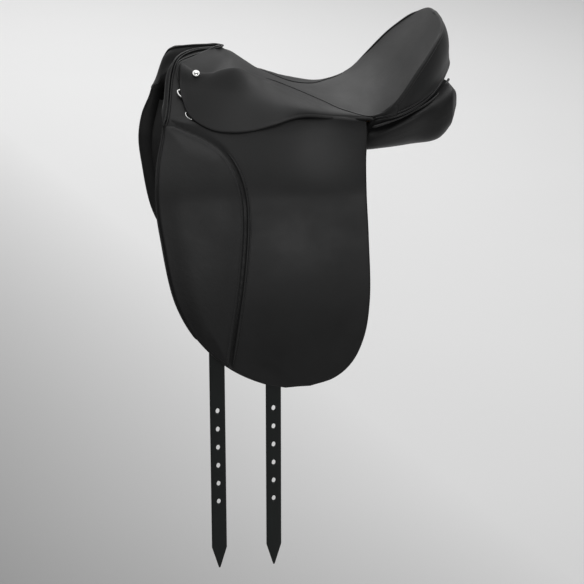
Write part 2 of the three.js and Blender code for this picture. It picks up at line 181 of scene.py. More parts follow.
def new_object(name, vertices, faces, uvs=None, edge=None):
    mesh = bpy.data.meshes.new(name)
    mesh.from_pydata([tuple(v) for v in vertices], [], faces)
    if uvs is not None:
        layer = mesh.uv_layers.new(name="UVMap")
        corners = np.empty(len(mesh.loops), int)
        mesh.loops.foreach_get("vertex_index", corners)
        layer.data.foreach_set("uv", np.asarray(uvs, np.float32)[corners].ravel())
    # The edge attribute holds how dark each point is made: dyed leather edges and painted shade.
    if edge is not None:
        dye_and_shade = mesh.attributes.new("edge", "FLOAT", "POINT")
        dye_and_shade.data.foreach_set("value", np.asarray(edge, np.float32).ravel())
    mesh.polygons.foreach_set("use_smooth", [True] * len(mesh.polygons))
    obj = bpy.data.objects.new(name, mesh)
    bpy.context.scene.collection.objects.link(obj)
    return obj


def weld(obj, distance=2e-6):
    """Joins coincident vertices and makes the faces point out."""
    work = bmesh.new()
    work.from_mesh(obj.data)
    bmesh.ops.remove_doubles(work, verts=work.verts, dist=distance)
    bmesh.ops.dissolve_degenerate(work, edges=work.edges, dist=1e-7)
    bmesh.ops.recalc_face_normals(work, faces=work.faces)
    work.to_mesh(obj.data)
    work.free()
    obj.data.polygons.foreach_set("use_smooth", [True] * len(obj.data.polygons))
    return obj


def quads(n, m, offset=0, flip=False, wrap=False):
    faces = []
    for i in range(n if wrap else n - 1):
        for j in range(m - 1):
            k = (i + 1) % n
            face = (offset + i * m + j, offset + k * m + j, offset + k * m + j + 1, offset + i * m + j + 1)
            faces.append(face[::-1] if flip else face)
    return faces


def grid_uv(grid):
    """Distances in metres across and along a grid."""
    across = np.linalg.norm(np.diff(grid, axis=0), axis=2).mean(axis=1)
    along = np.linalg.norm(np.diff(grid, axis=1), axis=2).mean(axis=0)
    u = np.concatenate([[0], np.cumsum(across)])
    v = np.concatenate([[0], np.cumsum(along)])
    return np.stack(np.broadcast_arrays(u[:, None], v[None, :]), axis=-1) * MM


def rim_distance(grid):
    """Distance of each grid point from the grid's own border, in millimetres."""
    across = np.linalg.norm(np.diff(grid, axis=0), axis=2)
    along = np.linalg.norm(np.diff(grid, axis=1), axis=2)
    u = np.vstack([np.zeros((1, grid.shape[1])), np.cumsum(across, axis=0)])
    v = np.hstack([np.zeros((grid.shape[0], 1)), np.cumsum(along, axis=1)])
    return np.minimum(np.minimum(u, u[-1:] - u), np.minimum(v, v[:, -1:] - v))


def sheet(name, outer, thickness, away, relief=None, side=1, edge_width=1.6, painted_shade=None):
    """A leather sheet with rounded edges. outer is its outer face and away points out of it.

    relief raises the outer face. The edges are darkened like dyed leather, and the last argument darkens
    the face besides them as painted shade, such as in the flap's groove at the knee pad.
    """
    normal = normals(outer)
    turned = np.where(np.sum(normal * np.asarray(away, float), axis=-1, keepdims=True) < 0, -1.0, 1.0)
    normal = normal * turned
    half = thickness / 2
    rim = rim_distance(outer)
    inset = np.clip(half - rim, 0, half)
    fall = half - np.sqrt(np.maximum(half**2 - inset**2, 0))
    raised = np.zeros(rim.shape) if relief is None else relief * np.clip(rim / half, 0, 1)
    top = outer + normal * (raised - fall)[..., None]
    bottom = outer - normal * (thickness - fall)[..., None]
    n, m = rim.shape
    points = placed([top, bottom], side)
    uv = grid_uv(outer).reshape(-1, 2)
    # Darkening kept in the edge attribute: the dyed edges, and the painted shade passed in besides them.
    dye_and_shade = np.exp(-((rim / edge_width) ** 2))
    dye_and_shade = (dye_and_shade if painted_shade is None else np.maximum(dye_and_shade, painted_shade)).ravel()
    faces = quads(n, m) + quads(n, m, n * m, flip=True)
    return weld(new_object(name, points, faces, np.concatenate([uv, uv]), np.concatenate([dye_and_shade, dye_and_shade])))


def closed_tube(name, rings, around, along, side):
    """A tube through rings of points, with closed ends; around and along are its texture's measures."""
    n, m = rings.shape[:2]
    uv = np.stack([np.broadcast_to(around, (n, m)), np.broadcast_to(along, (n, m))], axis=-1)
    faces = quads(n, m, wrap=True)
    faces.append([i * m for i in range(n)])
    faces.append([i * m + m - 1 for i in range(n)][::-1])
    obj = new_object(name, placed(rings, side), faces, uv.reshape(-1, 2) * MM, np.zeros(n * m))
    return weld(obj, 1e-7)


def tube(name, path, radius, sides=10, side=1, taper=0.0):
    """A round cord along an array of points, with closed tapered ends."""
    tangent = unit(np.gradient(path, axis=0))
    first = np.cross(tangent, (0.0, 0.0, 1.0))
    weak = np.linalg.norm(first, axis=1) < 0.05
    first[weak] = np.cross(tangent[weak], (0.0, 1.0, 0.0))
    first = unit(first)
    second = np.cross(tangent, first)
    share = np.linspace(0, 1, len(path))
    size = np.full(len(path), float(radius))
    if taper:
        size *= np.sqrt(np.clip(np.minimum(share, 1 - share) / taper, 0.02, 1))
    angle = np.linspace(0, 2 * np.pi, sides, endpoint=False)
    ring = np.cos(angle)[:, None, None] * first + np.sin(angle)[:, None, None] * second
    points = path + ring * size[None, :, None]
    return closed_tube(name, points, angle[:, None] * radius, lengths(path)[None, :], side)


def stitches(name, path, up, side=1, pitch=4.0, length=2.7, width=0.42):
    """A row of thread stitches lying on a surface along path; up is the surface's normal there."""
    total = lengths(path)[-1]
    count = max(2, int(total / pitch))
    s = lengths(path)
    points, faces, uvs = [], [], []
    sides, rings = 6, 5
    for k in range(count):
        here = (k + 0.5) * pitch
        spots = here + np.linspace(-0.5, 0.5, rings) * length
        centre = np.column_stack([np.interp(spots, s, path[:, i]) for i in range(3)])
        lift = np.column_stack([np.interp(spots, s, up[:, i]) for i in range(3)])
        tangent = unit(np.gradient(centre, axis=0))
        lift = unit(lift)
        cross = unit(np.cross(tangent, lift))
        bulge = np.array([0.25, 0.8, 1.0, 0.8, 0.25]) * width
        height = np.array([-0.35, 0.1, 0.25, 0.1, -0.35]) * width
        base = len(points)
        for r in range(rings):
            for a in range(sides):
                turn = 2 * math.pi * a / sides
                raised = lift[r] * (math.sin(turn) * bulge[r] + height[r])
                offset = cross[r] * math.cos(turn) * bulge[r] + raised
                points.append(centre[r] + offset)
                uvs.append((turn * width * MM, spots[r] * MM))
        faces += [tuple(base + i for i in f) for f in _ring_faces(sides, rings)]
    flat = placed(points, side)
    return weld(new_object(name, flat, faces, np.array(uvs), np.zeros(len(flat))), 1e-7)


def _ring_faces(sides, rings):
    faces = []
    for r in range(rings - 1):
        for a in range(sides):
            b = (a + 1) % sides
            faces.append((r * sides + a, r * sides + b, (r + 1) * sides + b, (r + 1) * sides + a))
    faces.append(tuple(range(sides))[::-1])
    faces.append(tuple((rings - 1) * sides + a for a in range(sides)))
    return faces


SIDES = {"off": 1, "near": -1}
ROOT = "seat_and_tree"


def finish_piece(obj, material, body=ROOT, replaced=()):
    obj.data.materials.clear()
    obj.data.materials.append(material)
    if body:
        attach(obj, body)
    if replaced:
        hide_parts(*replaced)
    return obj


# ---- materials ----
class Shader:
    """A material's node tree, with short ways to add nodes."""

    def __init__(self, name):
        self.material = bpy.data.materials.new(name)
        self.material.use_nodes = True
        self.tree = self.material.node_tree
        self.tree.nodes.clear()
        self.output = self.node("ShaderNodeOutputMaterial")
        self.body = self.node("ShaderNodeBsdfPrincipled")
        self.join(self.body.outputs["BSDF"], self.output.inputs["Surface"])
        self.place = self.node("ShaderNodeTexCoord")

    def node(self, kind, **values):
        node = self.tree.nodes.new(kind)
        for key, value in values.items():
            setattr(node, key, value)
        return node

    def join(self, source, target):
        self.tree.links.new(source, target)

    def noise(self, source, scale, detail=4.0, rough=0.55):
        node = self.node("ShaderNodeTexNoise")
        node.inputs["Scale"].default_value = scale
        node.inputs["Detail"].default_value = detail
        node.inputs["Roughness"].default_value = rough
        self.join(source, node.inputs["Vector"])
        return node.outputs["Fac"]

    def cells(self, source, scale, feature="SMOOTH_F1"):
        node = self.node("ShaderNodeTexVoronoi", feature=feature)
        node.inputs["Scale"].default_value = scale
        self.join(source, node.inputs["Vector"])
        return node.outputs["Distance"]

    def mapped(self, source, low, high, from_low=0.0, from_high=1.0):
        node = self.node("ShaderNodeMapRange")
        node.inputs["From Min"].default_value = from_low
        node.inputs["From Max"].default_value = from_high
        node.inputs["To Min"].default_value = low
        node.inputs["To Max"].default_value = high
        self.join(source, node.inputs["Value"])
        return node.outputs["Result"]

    def maths(self, operation, a, b):
        node = self.node("ShaderNodeMath", operation=operation)
        for socket, value in zip(node.inputs, (a, b)):
            if isinstance(value, (int, float)):
                socket.default_value = value
            else:
                self.join(value, socket)
        return node.outputs["Value"]

    def mixed(self, factor, a, b):
        node = self.node("ShaderNodeMix", data_type="RGBA")
        self.join(factor, node.inputs["Factor"])
        for socket, value in ((node.inputs[6], a), (node.inputs[7], b)):
            if isinstance(value, tuple):
                socket.default_value = (*value, 1)
            else:
                self.join(value, socket)
        return node.outputs[2]

    def bump(self, height, strength, distance, before=None):
        node = self.node("ShaderNodeBump")
        node.inputs["Strength"].default_value = strength
        node.inputs["Distance"].default_value = distance
        self.join(height, node.inputs["Height"])
        if before is not None:
            self.join(before, node.inputs["Normal"])
        return node.outputs["Normal"]

    def set(self, **values):
        for key, value in values.items():
            self.body.inputs[key.replace("_", " ")].default_value = value


def shade(colour, factor):
    return tuple(min(1.0, c * factor) for c in colour)


def leather(name, colour, rough=0.46, cell=0.9, depth=0.09, creases=0.25, spread=0.06, sheen=0.05,
            specular=0.42, place="UV"):
    """Grained leather. cell is the grain's size and depth its height, in millimetres."""
    s = Shader(name)
    uv = s.place.outputs[place]
    pebbles = s.cells(uv, 1000 / cell)
    pores = s.noise(uv, 1500 / cell, 3)
    wrinkles = s.noise(uv, 95, 5, 0.6)
    cloud = s.noise(uv, 14, 3)
    grain = s.maths("ADD", s.mapped(pebbles, 0, 0.7), s.mapped(pores, 0, 0.3))
    broad = s.bump(wrinkles, creases, 0.0012)
    s.join(s.bump(grain, 0.55, depth * MM, broad), s.body.inputs["Normal"])
    worn = s.mixed(s.mapped(cloud, 0, 1, 0.32, 0.68), shade(colour, 0.8), shade(colour, 1.22))
    pitted = s.mixed(s.mapped(pebbles, 0, 0.35, 0.15, 0.75), worn, shade(colour, 0.45))
    # The edge attribute darkens the leather: its dyed edges, painted shade in the flap's groove at the knee
    # pad, and painted shade of the gap under the skirt's lower edge.
    rim = s.node("ShaderNodeAttribute", attribute_name="edge").outputs["Fac"]
    s.join(s.mixed(rim, pitted, shade(colour, 0.15)), s.body.inputs["Base Color"])
    varied = s.mapped(cloud, rough - spread, rough + spread, 0.3, 0.7)
    fine = s.mapped(pores, -0.05, 0.05, 0.3, 0.7)
    s.join(s.maths("ADD", varied, fine), s.body.inputs["Roughness"])
    s.set(Sheen_Weight=sheen, Sheen_Roughness=0.5, Specular_IOR_Level=specular)
    return s.material


def metal(name, colour, rough, brushed=0.06):
    s = Shader(name)
    place = s.place.outputs["Object"]
    fine = s.noise(place, 900, 4)
    cloud = s.noise(place, 60, 3)
    s.join(s.mixed(s.mapped(cloud, 0, 1, 0.35, 0.65), shade(colour, 0.86), colour),
           s.body.inputs["Base Color"])
    s.join(s.mapped(fine, rough - brushed, rough + brushed, 0.3, 0.7), s.body.inputs["Roughness"])
    s.join(s.bump(fine, 0.12, 0.00008), s.body.inputs["Normal"])
    s.set(Metallic=1.0)
    return s.material


def wood(name):
    s = Shader(name)
    place = s.place.outputs["Object"]
    stretched = s.node("ShaderNodeMapping")
    stretched.inputs["Scale"].default_value = (6, 60, 260)
    s.join(place, stretched.inputs["Vector"])
    plies = s.noise(stretched.outputs["Vector"], 1.6, 6, 0.6)
    fibres = s.noise(stretched.outputs["Vector"], 9, 4)
    tone = s.mixed(s.mapped(plies, 0, 1, 0.35, 0.65), (0.30, 0.17, 0.08), (0.52, 0.34, 0.18))
    s.join(s.mixed(s.mapped(fibres, 0, 0.4, 0.45, 0.7), tone, (0.2, 0.1, 0.05)),
           s.body.inputs["Base Color"])
    s.join(s.mapped(fibres, 0.5, 0.7), s.body.inputs["Roughness"])
    s.join(s.bump(fibres, 0.3, 0.0003), s.body.inputs["Normal"])
    return s.material


def foam(name):
    s = Shader(name)
    place = s.place.outputs["UV"]
    bubbles = s.cells(place, 900)
    cloud = s.noise(place, 30, 3)
    s.join(s.mixed(s.mapped(cloud, 0, 1), (0.55, 0.50, 0.34), (0.66, 0.61, 0.44)),
           s.body.inputs["Base Color"])
    s.join(s.mapped(bubbles, 0.75, 0.95), s.body.inputs["Roughness"])
    s.join(s.bump(bubbles, 0.6, 0.0008), s.body.inputs["Normal"])
    return s.material


def webbing(name):
    """Linen web: ribs across a strap's width and yarns along it."""
    s = Shader(name)
    place = s.place.outputs["UV"]
    waves = []
    for direction, scale in (("X", 620), ("Y", 420)):
        wave = s.node("ShaderNodeTexWave", bands_direction=direction)
        wave.inputs["Scale"].default_value = scale / (2 * math.pi) * 3
        wave.inputs["Distortion"].default_value = 0.4
        s.join(place, wave.inputs["Vector"])
        waves.append(wave.outputs["Fac"])
    weave = s.maths("MULTIPLY", *waves)
    cloud = s.noise(place, 45, 3)
    tone = s.mixed(s.mapped(cloud, 0, 1), (0.26, 0.23, 0.17), (0.36, 0.32, 0.24))
    s.join(s.mixed(s.mapped(weave, 0, 0.6), (0.13, 0.11, 0.08), tone), s.body.inputs["Base Color"])
    s.join(s.mapped(weave, 0.95, 0.75), s.body.inputs["Roughness"])
    s.join(s.bump(weave, 0.7, 0.0005), s.body.inputs["Normal"])
    s.set(Sheen_Weight=0.2)
    return s.material


def thread(name, colour):
    """Twisted sewing thread."""
    s = Shader(name)
    place = s.place.outputs["UV"]
    twist = s.node("ShaderNodeTexWave", bands_direction="DIAGONAL")
    twist.inputs["Scale"].default_value = 700
    s.join(place, twist.inputs["Vector"])
    s.join(s.mixed(twist.outputs["Fac"], shade(colour, 0.6), shade(colour, 1.3)),
           s.body.inputs["Base Color"])
    s.join(s.mapped(twist.outputs["Fac"], 0.45, 0.6), s.body.inputs["Roughness"])
    s.join(s.bump(twist.outputs["Fac"], 0.5, 0.0002), s.body.inputs["Normal"])
    return s.material


BLACK = (0.0082, 0.0083, 0.0085)
FLAP_HIDE = leather("flap_hide", BLACK, 0.48, 0.7, 0.05, 0.10)
SEAT_HIDE = leather("seat_hide", shade(BLACK, 1.15), 0.58, 0.9, 0.07, 0.16, sheen=0.08)
SKIRT_HIDE = leather("skirt_hide", BLACK, 0.54, 0.75, 0.05, 0.10)
PAD_HIDE = leather("pad_hide", BLACK, 0.5, 1.1, 0.10, 0.2, sheen=0.06)
PANEL_HIDE = leather("panel_hide", shade(BLACK, 0.9), 0.5, 1.0, 0.09, 0.3)
SWEAT_HIDE = leather("sweat_hide", shade(BLACK, 0.7), 0.62, 1.3, 0.1, 0.2)
STRAP_HIDE = leather("strap_hide", (0.0085, 0.0115, 0.0108), 0.5, 0.8, 0.06, 0.12)
WELT_HIDE = leather("welt_hide", shade(BLACK, 1.1), 0.42, 0.6, 0.04, 0.05)
THREAD = thread("black_thread", (0.03, 0.03, 0.031))
SILVER = metal("polished_nickel", (0.86, 0.86, 0.85), 0.2)
STEEL = metal("satin_steel", (0.5, 0.51, 0.53), 0.34)
WOOD = wood("laminated_beech")
FOAM = foam("seat_foam_rubber")
WEBBING = webbing("linen_web")
CHAPE_HIDE = leather("chape_hide", BLACK, 0.5, 0.8, 0.06, place="Object")


# ---- CAD nodes that stay as they are, with a better finish ----
def dress(node, material, bevel=0.6):
    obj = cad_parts[node]
    obj.data.materials.clear()
    obj.data.materials.append(material)
    rounded = obj.modifiers.new("rounded", "BEVEL")
    rounded.width = bevel * MM
    rounded.segments = 2
    rounded.limit_method = "ANGLE"
    rounded.angle_limit = math.radians(40)
    obj.data.polygons.foreach_set("use_smooth", [True] * len(obj.data.polygons))
    rounded.harden_normals = True


dress("tree", WOOD, 1.5)
dress("head_plate", STEEL, 0.4)
for side in SIDES:
    dress(f"{side}_spring_steel", STEEL, 0.3)
    dress(f"{side}_stirrup_bar", STEEL, 0.9)
    dress(f"{side}_safety_catch", STEEL, 0.8)
    dress(f"{side}_upper_chape", CHAPE_HIDE, 0.5)
    dress(f"{side}_lower_chape", CHAPE_HIDE, 0.5)


# ---- the flap's shared surface ----
FLAP_TOP, FLAP_BOTTOM = 60, -360
HINGE_Z = 31
SHOULDER_Z = 50
FLAP_LEATHER = 5
WAIST_DEPTH = 34


def flap_reach(x, z, waist_depth=WAIST_DEPTH):
    """Distance of the flap's outer face from the centreline plane."""
    down = (FLAP_TOP - np.maximum(z, FLAP_BOTTOM)) / (FLAP_TOP - FLAP_BOTTOM)
    spread = 144 + 115 * (1 - (1 - down) ** 2.195)
    waist = waist_depth * np.exp(-(((x - 5) / 60) ** 2))
    return spread - smooth(z, -FLAP_TOP, FLAP_TOP) * (8 - 0.08 * x + waist)


def on_flap(p):
    out = np.array(p, float)
    out[..., 1] = flap_reach(out[..., 0], out[..., 2])
    return out


def outward(grid):
    return np.broadcast_to(np.array([0.0, 1.0, 0.4]), grid.shape)


FLAP_FRONT = even_curve(outline([(-247, SHOULDER_Z), (-251, HINGE_Z), (-262, -8), (-267, -61), (-262, -111),
                                 (-243, -210), (-210, -272), (-160, -322), (-107, -350), (-70, -359)]))
FLAP_REAR = even_curve(outline([(77, SHOULDER_Z), (77, HINGE_Z), (72, -5), (69, -53), (69, -120),
                                (68, -220), (58, -280), (38, -322), (10, -346), (-30, -358)]))
HEAD_UPPER = curve([(-226, 62, 113), (-190, 76, 98), (-140, 90, 78), (-90, 92, 68), (-40, 90, 60),
                    (5, 92, 52), (45, 106, 49), (77, 132, 50)])
PAD_SEAM = curve([(-247, 0, 51), (-232, 0, 49), (-214, 0, 42), (-188, 0, 31), (-162, 0, 15), (-144, 0, -6),
                  (-133, 0, -30), (-128, 0, -55), (-127, 0, -85), (-130, 0, -124), (-138, 0, -187),
                  (-146, 0, -235), (-154, 0, -280), (-160, 0, -317)])


def skirted(x, z):
    """The flap's outer face for pieces laid on it; above the shoulder it goes straight up."""
    return flap_reach(x, np.minimum(z, SHOULDER_Z))


def flap_grid():
    """The flap's outer face from its sewn top edge to its tip: rows across, columns down."""
    u = ends_dense(72, 320, 2.5)
    head = np.linspace(0, 1, 22)[:-1]
    top = HEAD_UPPER(u)
    fold = on_flap(np.column_stack([lerp(-247, 77, u), np.zeros_like(u), np.full_like(u, SHOULDER_Z)]))
    upper = top[:, None] + (fold - top)[:, None] * head[None, :, None]
    down = 2 * ends_dense(218, 800, 2.5)[109:] - 1
    down = (down - down[0]) / (down[-1] - down[0])
    front, rear = FLAP_FRONT(down), FLAP_REAR(down)
    lower = on_flap(front[None] + (rear - front)[None] * u[:, None, None])
    grid = np.concatenate([upper, lower], axis=1)
    for _ in range(12):
        ease = grid.copy()
        ease[:, 1:-1] = (grid[:, :-2] + 2 * grid[:, 1:-1] + grid[:, 2:]) / 4
        weight = smooth(grid[..., 2], 30, 44) * (np.arange(grid.shape[1]) > 0)
        grid[..., 1] = lerp(grid[..., 1], ease[..., 1], weight)
    return grid


def flap_blend(obj):
    """Bakes the piece's placement into its mesh."""
    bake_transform(obj)


def groove(distance, width, depth):
    return -depth * np.exp(-((distance / width) ** 2))


def laid_line(line):
    """A line in the flap's plane, laid on the flap's outer face."""
    path = evenly(line, 200)
    path[:, 1] = skirted(path[:, 0], path[:, 2])
    return path


def flap_normals(path):
    dx = (skirted(path[:, 0] + 1, path[:, 2]) - skirted(path[:, 0] - 1, path[:, 2])) / 2
    dz = (skirted(path[:, 0], path[:, 2] + 1) - skirted(path[:, 0], path[:, 2] - 1)) / 2
    return unit(np.column_stack([-dx, np.ones_like(dx), -dz]))


def shifted_plane(line, right):
    """A line moved right millimetres towards the cantle in the plane of x and z."""
    tangent = unit(np.gradient(line[:, [0, 2]], axis=0))
    moved = line.copy()
    moved[:, 0] -= tangent[:, 1] * right
    moved[:, 2] += tangent[:, 0] * right
    return moved


def shifted(path, right):
    """A flap line moved towards the cantle and laid back on the flap's outer face."""
    flat = shifted_plane(path, right)
    flat[:, 1] = skirted(flat[:, 0], flat[:, 2])
    return flat


FLAP_GRID = flap_grid()
PAD_LINE = laid_line(PAD_SEAM)


def flap_relief():
    """Heights of the flap's outer face: the groove at the knee pad, the creased border and soft waves; and
    a mask of painted shade that darkens the groove.
    """
    rim = rim_distance(FLAP_GRID)
    gap, _ = nearest(FLAP_GRID * (1, 0, 1), PAD_LINE * (1, 0, 1))
    relief = groove(gap, 2.6, 4.2) + groove(rim - 6.0, 1.1, 0.5)
    x, z = FLAP_GRID[..., 0], FLAP_GRID[..., 2]
    waves = 0.5 * np.sin(x / 41 + z / 63) + 0.4 * np.sin(z / 37 - x / 90)
    # Painted shade: the second value darkens the leather along the knee pad's groove.
    return relief + waves * smooth(rim, 5, 50), np.exp(-((gap / 2.8) ** 2))


def coons(left, right, top, bottom, u, v):
    """A grid inside four border curves; u runs from left to right and v from top to bottom."""
    a, b = left(v)[None], right(v)[None]
    c, d = top(u)[:, None], bottom(u)[:, None]
    s, t = u[:, None, None], v[None, :, None]
    corners = ((1 - s) * (1 - t) * c[:1] + s * (1 - t) * c[-1:] + (1 - s) * t * d[:1] + s * t * d[-1:])
    return (1 - s) * a + s * b + (1 - t) * c + t * d - corners


def pad_grid():
    """The knee pad's outer face: from the flap's front edge to the seam, and from top corner to tip."""
    seam = shifted_plane(evenly(PAD_SEAM, 400), -2.4)
    turn = 96
    front_line = shifted_plane(np.vstack([[(-248.5, 0, 51.5)], evenly(FLAP_FRONT, 300, 0.012, 0.665)]), 2.2)
    front_line = curve(evenly(curve(front_line[::10]), 60))
    top = curve(evenly(curve(np.vstack([front_line(0.0), seam[6:turn:8]])), 30))
    rear = curve(evenly(curve(seam[turn - 2 :: 8]), 60))
    tip = curve([front_line(1.0)[0], (front_line(1.0)[0] + rear(1.0)[0]) / 2 + (0, 0, -1), rear(1.0)[0]])
    start = curve([top(1.0)[0], rear(0.02)[0]])
    u, v = ends_dense(40, 110, 6), ends_dense(96, 330, 6)
    rear_line = curve(np.vstack([start(0.0), evenly(rear, 60)[1:]]))
    return coons(front_line, rear_line, top, tip, u, v)


def make_flap(side):
    sign = SIDES[side]
    # The flap's leather is darkened along the knee pad's groove as painted shade.
    relief, painted_shade = FLAP_RELIEF
    flap = sheet(f"{side}_flap_leather", FLAP_GRID, FLAP_LEATHER, outward(FLAP_GRID), relief, sign, 3.4,
                 painted_shade)
    finish_piece(flap, FLAP_HIDE, None, (f"{side}_flap_head", f"{side}_flap"))
    flap_blend(flap)
    grid = pad_grid()
    grid[..., 1] = skirted(grid[..., 0], grid[..., 2]) + 2.2
    rim = rim_distance(grid)
    swell = 4.6 * (1 - np.exp(-rim / 9)) * smooth(rim, -10, 44)
    pad = sheet(f"{side}_knee_pad_cover", grid, 5.0, outward(grid), swell, sign, 1.6)
    finish_piece(pad, PAD_HIDE, None, (f"{side}_knee_pad",))
    flap_blend(pad)
    edge = evenly(FLAP_FRONT, 260, 0.0, 0.66)
    edge[:, 1] = skirted(edge[:, 0], edge[:, 2]) - 1.3
    roll = tube(f"{side}_front_edge_bead", edge, 1.5, 12, sign, 0.02)
    finish_piece(roll, WELT_HIDE, None)
    flap_blend(roll)
    line = shifted(PAD_LINE[int(len(PAD_LINE) * 0.24) :], 4.6)
    bead = tube(f"{side}_flap_bead", line + flap_normals(line) * 0.4, 2.5, 14, sign, 0.16)
    finish_piece(bead, FLAP_HIDE, None)
    flap_blend(bead)
    for name, right, start in (("bead", 9.2, 0.24), ("pad", -7.0, 0.03)):
        path = shifted(PAD_LINE[int(len(PAD_LINE) * start) : -6], right)
        up = flap_normals(path)
        lift = 0.35 if right > 0 else 5.1
        row = stitches(f"{side}_{name}_stitches", path + up * lift, up, sign)
        finish_piece(row, THREAD, None)
        flap_blend(row)


FLAP_RELIEF = flap_relief()
for side in SIDES:
    make_flap(side)

# ---- skirts ----
SEAT_EDGE = curve([(-214, 57, 131), (-191, 78, 120), (-166, 78, 118), (-150, 75, 122), (-133, 71, 124),
                   (-118, 63, 121), (-100, 51, 110), (-80, 36, 99), (-60, 26, 91), (-25, 26, 76),
                   (15, 56, 63), (50, 106, 56), (90, 150, 58), (126, 158, 86), (160, 142, 127),
                   (189, 115, 160)])
SEAT_CENTRE = curve([(-142, 0, 147), (-138, 0, 142), (-133, 0, 138.5), (-128, 0, 134), (-122, 0, 130),
                     (-114, 0, 125), (-98, 0, 115), (-78, 0, 102), (-58, 0, 91.5), (-25, 0, 77),
                     (15, 0, 67), (55, 0, 64), (95, 0, 74), (130, 0, 97), (175, 0, 144), (216, 0, 192.5)])
SKIRT_SHARE = 0.79  # the skirt follows this share of the seat's edge, from the pommel


def seat_point(u, v):
    """Points of the seat, u across from side to side and v from pommel to cantle."""
    u, v = np.broadcast_arrays(np.asarray(u, float), np.asarray(v, float))
    a = 2 * u - 1
    edge = SEAT_EDGE(v.ravel()).reshape(*v.shape, 3)
    centre = SEAT_CENTRE(v.ravel()).reshape(*v.shape, 3)
    fore, aft = 1 - smooth(v, 0.0, 0.3), smooth(v, 0.8, 1)
    corner = np.abs(a) ** (2 - 0.9 * fore + 1.9 * aft)
    drop = np.abs(a) ** (2 - 0.1 * fore + 0.6 * aft)
    return np.stack([lerp(centre[..., 0], edge[..., 0], corner), edge[..., 1] * a,
                     lerp(centre[..., 2], edge[..., 2], drop)], axis=-1)


def under_seat(t):
    """The skirt's inner edge, which dips just below the seat's face."""
    t = np.asarray(t, float) * SKIRT_SHARE
    return seat_point(1 - 3.5 / SEAT_EDGE(t)[:, 1], t) - np.array([0, 0, 1.8])


def over_seat(t):
    return SEAT_EDGE(np.asarray(t) * SKIRT_SHARE) + np.array([0, 0.4, 0.3])


SKIRT_LINES = [
    under_seat,
    over_seat,
    curve([(-218, 80, 107), (-196, 94, 99), (-158, 97, 94), (-128, 99, 87.5), (-101, 102, 81.5),
           (-68, 105.5, 74), (-23, 109.5, 64), (31, 113, 54.5), (89, 152.5, 54)]),
    curve([(-216, 98, 89), (-205, 122, 60), (-172, 139, 41), (-135, 145, 37), (-103, 144, 39),
           (-70, 140, 46), (-22, 121, 51.5), (30, 121, 47), (88, 154, 51)]),
]
SKIRT_LEATHER = 4
NAIL = np.array([-190, 82.5, 120.5])
SKIRT_CREASE = curve([(-72, 38, 93), (-57, 50, 86), (-37, 57, 76), (-17, 70, 69.5), (6, 85, 63),
                      (30, 104, 57)])
SKIRT_GRID = loft(SKIRT_LINES, ends_dense(40, 120, 2.0), 130)


def skirt_relief():
    rim = rim_distance(SKIRT_GRID)
    gap, place = nearest(SKIRT_GRID, evenly(SKIRT_CREASE, 160))
    strength = smooth(place, 0.0, 0.10) * (1 - smooth(place, 0.5, 1.0))
    relief = groove(gap, 1.8, 0.9) * strength + 1.2 * np.exp(-(((gap - 7) / 5) ** 2)) * strength
    lower = np.linspace(0, 1, SKIRT_GRID.shape[0])[:, None] > 0.5
    return relief + np.where(lower, groove(rim - 5.5, 0.9, 0.4), 0)


def skirt_blend(obj):
    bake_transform(obj)


def make_skirt(side):
    sign = SIDES[side]
    away = np.broadcast_to(np.array([0, 1.0, 0.8]), SKIRT_GRID.shape)
    # Its darkened border, 2.4 mm wide, is the dyed edge, widened as painted shade of the gap under the
    # skirt's lower edge.
    skirt = sheet(f"{side}_skirt_leather", SKIRT_GRID, SKIRT_LEATHER, away, skirt_relief(), sign, 2.4)
    finish_piece(skirt, SKIRT_HIDE, None, (f"{side}_skirt_head", f"{side}_skirt"))
    skirt_blend(skirt)


for side in SIDES:
    make_skirt(side)

# ---- seat ----
SEAT_LEATHER = 3
UP = np.array([0.0, 0.0, 1.0])


def make_seat():
    u = ends_dense(64, 200, 4.0)
    v = ends_dense(150, 420, 3.0)
    grid = seat_point(u[:, None], v[None])
    seat = sheet("seat_cover", grid, SEAT_LEATHER, UP, None, 1, 0.05)
    finish_piece(seat, SEAT_HIDE, ROOT, ("seat_leather",))
    inner = seat_point(0.1 + 0.8 * ends_dense(26, 160, 2)[:, None],
                       0.04 + 0.9 * ends_dense(50, 380, 2)[None])
    shrunk = inner - UP * (SEAT_LEATHER + 1.2)
    pad = sheet("seat_foam_pad", shrunk, 6, UP)
    finish_piece(pad, FOAM, ROOT, ("seat_foam",))
    strip = seat_point(0.5 + (ends_dense(8, 40, 1) - 0.5)[:, None] * 0.24,
                       0.09 + 0.72 * ends_dense(60, 300, 1)[None])
    web = sheet("seat_web_strap", strip - UP * (SEAT_LEATHER + 8), 2, UP)
    finish_piece(web, WEBBING, ROOT, ("seat_web",))


make_seat()


# ---- cantle and pommel ----
def across_centre(half):
    """A curve that runs from the near side to the off side, from one that starts on the centreline."""
    def at(t):
        t = np.clip(np.atleast_1d(np.asarray(t, float)), 0, 1)
        p = half(np.abs(2 * t - 1))
        p[:, 1] *= np.where(t < 0.5, -1.0, 1.0)
        return p
    return at


